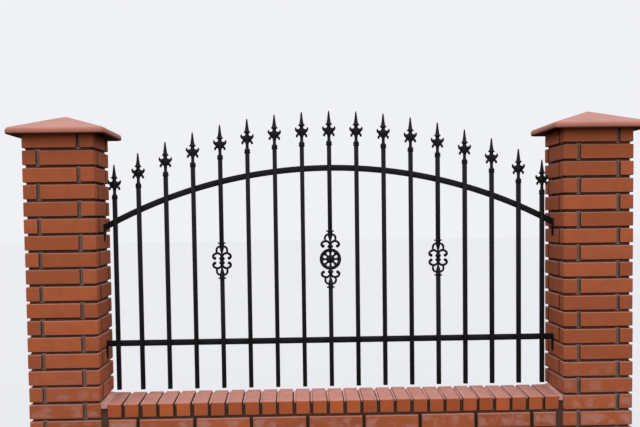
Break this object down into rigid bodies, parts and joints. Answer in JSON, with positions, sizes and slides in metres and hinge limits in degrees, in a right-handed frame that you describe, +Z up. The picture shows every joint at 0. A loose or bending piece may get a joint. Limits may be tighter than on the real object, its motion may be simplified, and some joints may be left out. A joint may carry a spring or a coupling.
{
  "type": "arched fence bay with brick piers",
  "caption": "Fence bay of brick piers with hipped caps and a coped brick plinth, with an iron panel of an arched top rail, spear-tipped square pickets, a wheel rosette and scroll rosettes.",
  "frame": {"origin": "on the ground, at the bottom centre of the bounding box, in the middle of the bay", "axes": "+Z up, +X along the fence to the right as seen from the front, -Y toward the front"},
  "size_m": [2.896, 0.441, 1.9423],
  "materials": {
    "pier_brick": "fired clay facing brick with dark recessed joints, matte",
    "plinth_brick": "fired clay facing brick with recessed joints and pale efflorescence, matte",
    "coping_brick": "fired clay brick on edge, matte, weathered paler on top",
    "clinker_cap": "salmon pink clinker, matte to satin",
    "ironwork": "near-black graphite paint, satin"
  },
  "bodies": {
    "root": {"arched_top_rail": "ironwork", "bottom_end_plate_left": "ironwork", "bottom_end_plate_right": "ironwork", "bottom_rail": "ironwork", "left_pier": "pier_brick", "left_pier_cap": "clinker_cap", "left_rosette": "ironwork", "picket_01": "ironwork", "picket_02": "ironwork", "picket_03": "ironwork", "picket_04": "ironwork", "picket_05": "ironwork", "picket_06": "ironwork", "picket_07": "ironwork", "picket_08": "ironwork", "picket_09": "ironwork", "picket_10": "ironwork", "picket_11": "ironwork", "picket_12": "ironwork", "picket_13": "ironwork", "picket_14": "ironwork", "picket_15": "ironwork", "picket_16": "ironwork", "picket_17": "ironwork", "plinth_coping": "coping_brick", "plinth_wall": "plinth_brick", "right_pier": "pier_brick", "right_pier_cap": "clinker_cap", "right_rosette": "ironwork", "spear_tip_01": "ironwork", "spear_tip_02": "ironwork", "spear_tip_03": "ironwork", "spear_tip_04": "ironwork", "spear_tip_05": "ironwork", "spear_tip_06": "ironwork", "spear_tip_07": "ironwork", "spear_tip_08": "ironwork", "spear_tip_09": "ironwork", "spear_tip_10": "ironwork", "spear_tip_11": "ironwork", "spear_tip_12": "ironwork", "spear_tip_13": "ironwork", "spear_tip_14": "ironwork", "spear_tip_15": "ironwork", "spear_tip_16": "ironwork", "spear_tip_17": "ironwork", "top_end_plate_left": "ironwork", "top_end_plate_right": "ironwork", "wheel_rosette": "ironwork"}
  },
  "joints": []
}
